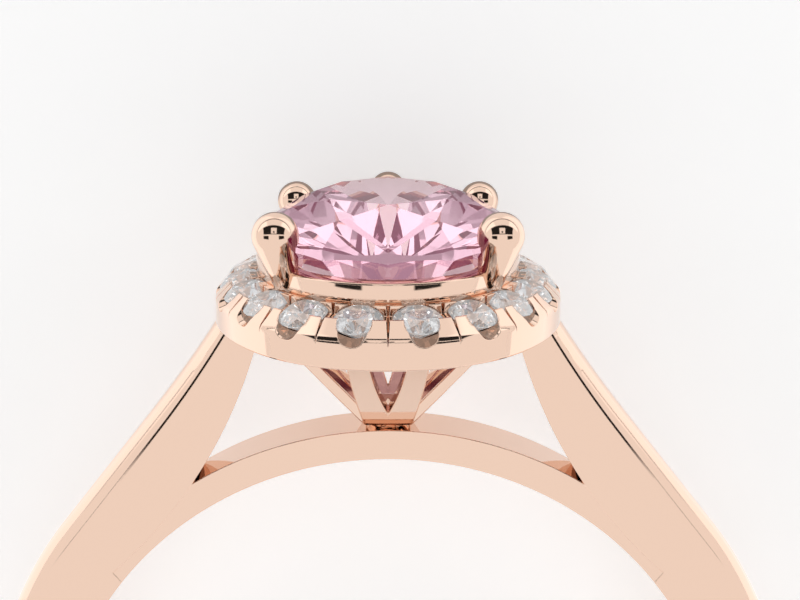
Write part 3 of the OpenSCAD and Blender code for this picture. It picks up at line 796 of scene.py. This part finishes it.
class HALORING_OT_halo(bpy.types.Operator):
    """Models the halo with its seats, notches and split beads, and the gallery rail"""

    bl_idname = "haloring.halo"
    bl_label = "Halo and rail"

    def execute(self, context):
        band, head = context.scene.haloring_band, context.scene.haloring_head
        pear = Pear(head)
        count = len(STONES)
        base = band.head_z
        halo_steps, rail_steps = 12 * count, 10 * count
        halo = pear.sweep("halo", self.section(head, base), halo_steps)
        spots = [pear.frame_at((i + 0.5) / count, head.melee_line, base + head.melee_up, head.melee_tilt)
                 for i in range(count)]
        between = [pear.frame_at(i / count, head.melee_line, base + head.melee_up, head.melee_tilt)
                   for i in range(count)]
        for tool, places in ((self.seat(head), spots), (self.notch(head), spots),
                             (self.gap(head), spots), (self.split(head), between)):
            tools = [copy_at(tool, place) for place in places]
            bpy.data.objects.remove(tool)
            cut(halo, join("tools", tools))
        smooth(halo, 24)
        lie_down(halo)
        finish_piece(halo, metal(), "rose_gold", "setting")
        rail = pear.sweep("gallery_rail", self.rail_section(head, base), rail_steps)
        smooth(rail, 40)
        lie_down(rail)
        finish_piece(rail, metal(), "rose_gold", "setting")
        return {"FINISHED"}

    def section(self, head, base):
        slope = math.tan(head.melee_tilt)
        inside = head.rail_out - head.rail_t
        crease_z = base + head.crease_up
        turn_up = math.acos((head.round_r - head.crease_in) / head.round_r)
        low_z = crease_z - head.round_r * math.sin(turn_up)
        steps = 6
        wall = [(head.halo_out - head.round_r + head.round_r * math.cos(turn_up * k / steps),
                 low_z + head.round_r * math.sin(turn_up * k / steps)) for k in range(steps + 1)]
        block_in = head.halo_out - head.crease_in - head.block_w
        inner_out = head.rail_out + head.inner_w
        floor_down = 0.02 * MM
        floor_z = base + head.melee_up - floor_down
        low_edge = 0.04 * MM
        return ([(inside, base), (head.halo_out - low_edge, base), (head.halo_out, base + low_edge)]
                + wall
                + [(block_in, crease_z + head.block_w),
                   (block_in, floor_z - (block_in - head.melee_line) * slope),
                   (inner_out, floor_z - (inner_out - head.melee_line) * slope),
                   (inner_out, base + head.rail_low), (inside, base + head.rail_low)])

    def rail_section(self, head, base):
        weld = 0.01 * MM
        low, high = base + head.rail_low - weld, base + head.rail_top
        inside, outside, r = head.rail_out - head.rail_t, head.rail_out, head.rail_round
        corner = [(math.sin(k * math.pi / 8), math.cos(k * math.pi / 8)) for k in range(5)]
        return ([(inside + r, low), (outside - r, low)]
                + [(outside - r + r * a, low + r - r * b) for a, b in corner[1:]]
                + [(outside - r + r * b, high - r + r * a) for a, b in corner]
                + [(inside + r - r * a, high - r + r * b) for a, b in corner]
                + [(inside + r - r * b, low + r - r * a) for a, b in corner[:-1]])

    def seat(self, head):
        """The room that a halo stone takes up, with its clearance."""
        r, gap = head.melee_r, head.stone_gap
        table, crown, deep, girdle = 0.56 * r, 0.32 * r, 0.86 * r, 0.07 * r
        star_share = 0.66
        star = (r - star_share * (r - table)) / math.cos(math.pi / 8)
        return spun("seat", [
            (0, -deep - gap), (gap, -deep - gap), (r + gap, -girdle / 2 - gap / 2),
            (r + gap, girdle / 2 + gap / 2), (star + gap, girdle / 2 + star_share * crown + gap / 2),
            (table + gap, girdle / 2 + crown + gap / 2), (table + gap, 2 * r), (0, 2 * r)], 40)

    def notch(self, head):
        """A slot with a round bottom, which runs outwards from the stone."""
        r, up, long = head.notch_r, head.notch_up, 2 * head.melee_r
        steps = 24
        turns = [-k * math.pi / steps for k in range(steps + 1)]
        shape = [(r, long)] + [(r * math.cos(a), up + r * math.sin(a)) for a in turns] + [(-r, long)]
        return loft("notch", [[(x, y, z) for y, z in shape] for x in (0, long)])

    def gap(self, head):
        """The narrow gap between the blocks at the inner side of a stone."""
        long, half = 2 * head.melee_r, head.inner_gap
        inwards = -head.melee_r - head.stone_gap
        return loft("gap", [[(x, -half, 0), (x, half, 0), (x, half, long), (x, -half, long)]
                            for x in (inwards, 0)])

    def split(self, head):
        """The groove that splits the bead block between two stones."""
        wide = head.split_w / 2
        inwards = head.rail_out - head.melee_line
        shape = [(0, -head.split_down), (wide, head.melee_r / 2), (wide, head.melee_r),
                 (-wide, head.melee_r), (-wide, head.melee_r / 2)]
        return loft("split", [[(x, y, z) for y, z in shape] for x in (inwards, 2 * head.melee_r)])


class HALORING_OT_prongs(bpy.types.Operator):
    """Models the five ball-topped prongs"""

    bl_idname = "haloring.prongs"
    bl_label = "Prongs"

    def execute(self, context):
        band, head = context.scene.haloring_band, context.scene.haloring_head
        pear = Pear(head)
        pieces = []
        for a, lift in ((-head.front_turn, head.front_lift), (head.back_turn, 0.0)):
            x, y = pear.place(a, 0)
            for side in (1, -1):
                facing = a if side > 0 else math.pi - a
                pieces.append(self.prong(band, head, (side * x, y), facing, head.ball_out, lift))
        pieces.append(self.prong(band, head, (0, pear.tip - pear.ahead), math.pi / 2, head.tip_ball_out))
        prongs = join("prongs", pieces)
        smooth(prongs, 32)
        lie_down(prongs)
        finish_piece(prongs, metal(), "rose_gold", "setting")
        return {"FINISHED"}

    def prong(self, band, head, at, facing, out, lift=0.0):
        """A ball on a tapering stem, which closes over the stone's edge and ends at the rail."""
        r, taper = head.ball_r, head.prong_taper
        z = head.girdle_z + head.ball_up + lift
        long = (z - band.head_z - head.rail_top + head.prong_sink) / math.cos(taper)
        steps, around = 26, 48
        profile = [(0, r)]
        for k in range(1, steps + 1):
            a = math.pi / 2 - (math.pi / 2 + taper) * k / steps
            profile.append((r * math.cos(a), r * math.sin(a)))
        profile += [(r / math.cos(taper) - long * math.tan(taper), -long), (0, -long)]
        piece = spun("prong", profile, around)
        piece.data.transform(Matrix.Translation((*at, z)) @ Matrix.Rotation(facing, 4, "Z")
                             @ Matrix.Translation((out, 0, 0)) @ Matrix.Rotation(taper, 4, "Y"))
        return piece


class HALORING_OT_basket(bpy.types.Operator):
    """Models the basket: an eight sided foot and four petals with pointed windows"""

    bl_idname = "haloring.basket"
    bl_label = "Basket"

    def execute(self, context):
        band, head = context.scene.haloring_band, context.scene.haloring_head
        foot = self.foot(band, head)
        petal = self.petal(band, head)
        petals = [copy_at(petal, Matrix.Rotation(k * math.pi / 2, 4, "Z")) for k in range(4)]
        bpy.data.objects.remove(petal)
        basket = join("basket", [foot] + petals)
        smooth(basket, 20)
        lie_down(basket)
        finish_piece(basket, metal(), "rose_gold", "setting")
        return {"FINISHED"}

    def foot(self, band, head):
        sink, edge = 0.3 * MM, 0.03 * MM
        top_w = head.foot_w + head.foot_h * math.tan(head.foot_lean)
        corner = math.cos(math.pi / 8)
        rings = []
        for half, z in ((head.foot_w, band.bridge_r - sink), (head.foot_w, band.bridge_r),
                        (top_w, band.bridge_r + head.foot_h)):
            rings.append([(half / corner * math.cos((k + 0.5) * math.pi / 4),
                           half / corner * math.sin((k + 0.5) * math.pi / 4), z) for k in range(8)])
        foot = loft("foot", rings)
        round_edges(foot, edge, 20)
        return foot

    def arched(self, name, half, radius, mid, low, high, thick):
        """A plate between two heights along the petal, whose sides bow out to a half width."""
        right, steps = [], 24
        for k in range(steps + 1):
            z = low + (high - low) * k / steps
            x = half - radius + math.sqrt(radius ** 2 - (z - mid) ** 2)
            right.append((max(x, 0), z))
        shape = right + [(-x, z) for x, z in reversed(right) if x > 1e-9]
        return loft(name, [[(x, y, z) for x, z in shape] for y in (-thick / 2, thick / 2)])

    def petal(self, band, head):
        """One leaning wall of the basket with its window; its top runs into the halo."""
        into_halo, edge = 0.3 * MM, 0.05 * MM
        swell = head.petal_w - head.petal_foot_w
        side_r = ((head.petal_mid - head.foot_h) ** 2 + swell ** 2) / (2 * swell)
        window_r = ((head.window_mid - head.window_up) ** 2 + head.window_w ** 2) / (2 * head.window_w)
        top = (band.head_z + into_halo - band.bridge_r) / math.cos(head.petal_lean)
        plate = self.arched("petal", head.petal_w, side_r, head.petal_mid, head.petal_low, top,
                            head.petal_t)
        window = self.arched("window", head.window_w, window_r, head.window_mid, head.window_up,
                             top + head.petal_t, 2 * head.petal_t)
        cut(plate, window)
        round_edges(plate, edge, 40, segments=1)
        plate.data.transform(Matrix.Translation((0, -head.petal_at, band.bridge_r))
                             @ Matrix.Rotation(head.petal_lean, 4, "X"))
        return plate


class HALORING_OT_stones(bpy.types.Operator):
    """Gives the stones their colours"""

    bl_idname = "haloring.stones"
    bl_label = "Stones"

    def execute(self, context):
        finish = context.scene.haloring_stones
        pink = stone_material("pink_stone", finish.pink, finish.pink_ior, finish.pink_painted_glow,
                              finish.pink_painted_glow_strength, finish.pink_body, finish.pink_depth)
        clear = stone_material("clear_stone", finish.clear, finish.clear_ior, finish.clear_painted_glow,
                               finish.clear_painted_glow_strength)
        for name in ["centre_stone"] + STONES:
            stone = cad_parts[name]
            stone.data.materials.clear()
            stone.data.materials.append(pink if name == "centre_stone" else clear)
        return {"FINISHED"}


class HALORING_PT_panel(bpy.types.Panel):
    """Sizes, colours and pieces of the ring"""

    bl_idname = "HALORING_PT_panel"
    bl_label = "Halo Ring"
    bl_space_type = "VIEW_3D"
    bl_region_type = "UI"
    bl_category = "Halo Ring"

    def draw(self, context):
        layout = self.layout
        for name, group in SETTINGS.items():
            box = layout.box()
            settings = getattr(context.scene, name)
            for key in group.__annotations__:
                box.prop(settings, key)
        for operator in OPERATORS:
            layout.operator(operator.bl_idname)


SETTINGS = {
    "haloring_band": BandSizes,
    "haloring_head": HeadSizes,
    "haloring_metal": MetalFinish,
    "haloring_stones": StoneFinish,
    "haloring_studio": StudioSettings,
}
OPERATORS = (HALORING_OT_stage, HALORING_OT_band, HALORING_OT_basket, HALORING_OT_halo,
             HALORING_OT_prongs, HALORING_OT_stones)


def register():
    for group in SETTINGS.values():
        bpy.utils.register_class(group)
    for name, group in SETTINGS.items():
        setattr(bpy.types.Scene, name, bpy.props.PointerProperty(type=group))
    for operator in OPERATORS:
        bpy.utils.register_class(operator)
    bpy.utils.register_class(HALORING_PT_panel)


def unregister():
    bpy.utils.unregister_class(HALORING_PT_panel)
    for operator in reversed(OPERATORS):
        bpy.utils.unregister_class(operator)
    for name in SETTINGS:
        delattr(bpy.types.Scene, name)
    for group in reversed(SETTINGS.values()):
        bpy.utils.unregister_class(group)


def main():
    register()
    bpy.ops.haloring.stage()
    bpy.ops.haloring.band()
    bpy.ops.haloring.basket()
    bpy.ops.haloring.halo()
    bpy.ops.haloring.prongs()
    bpy.ops.haloring.stones()


if __name__ == "__main__":
    main()
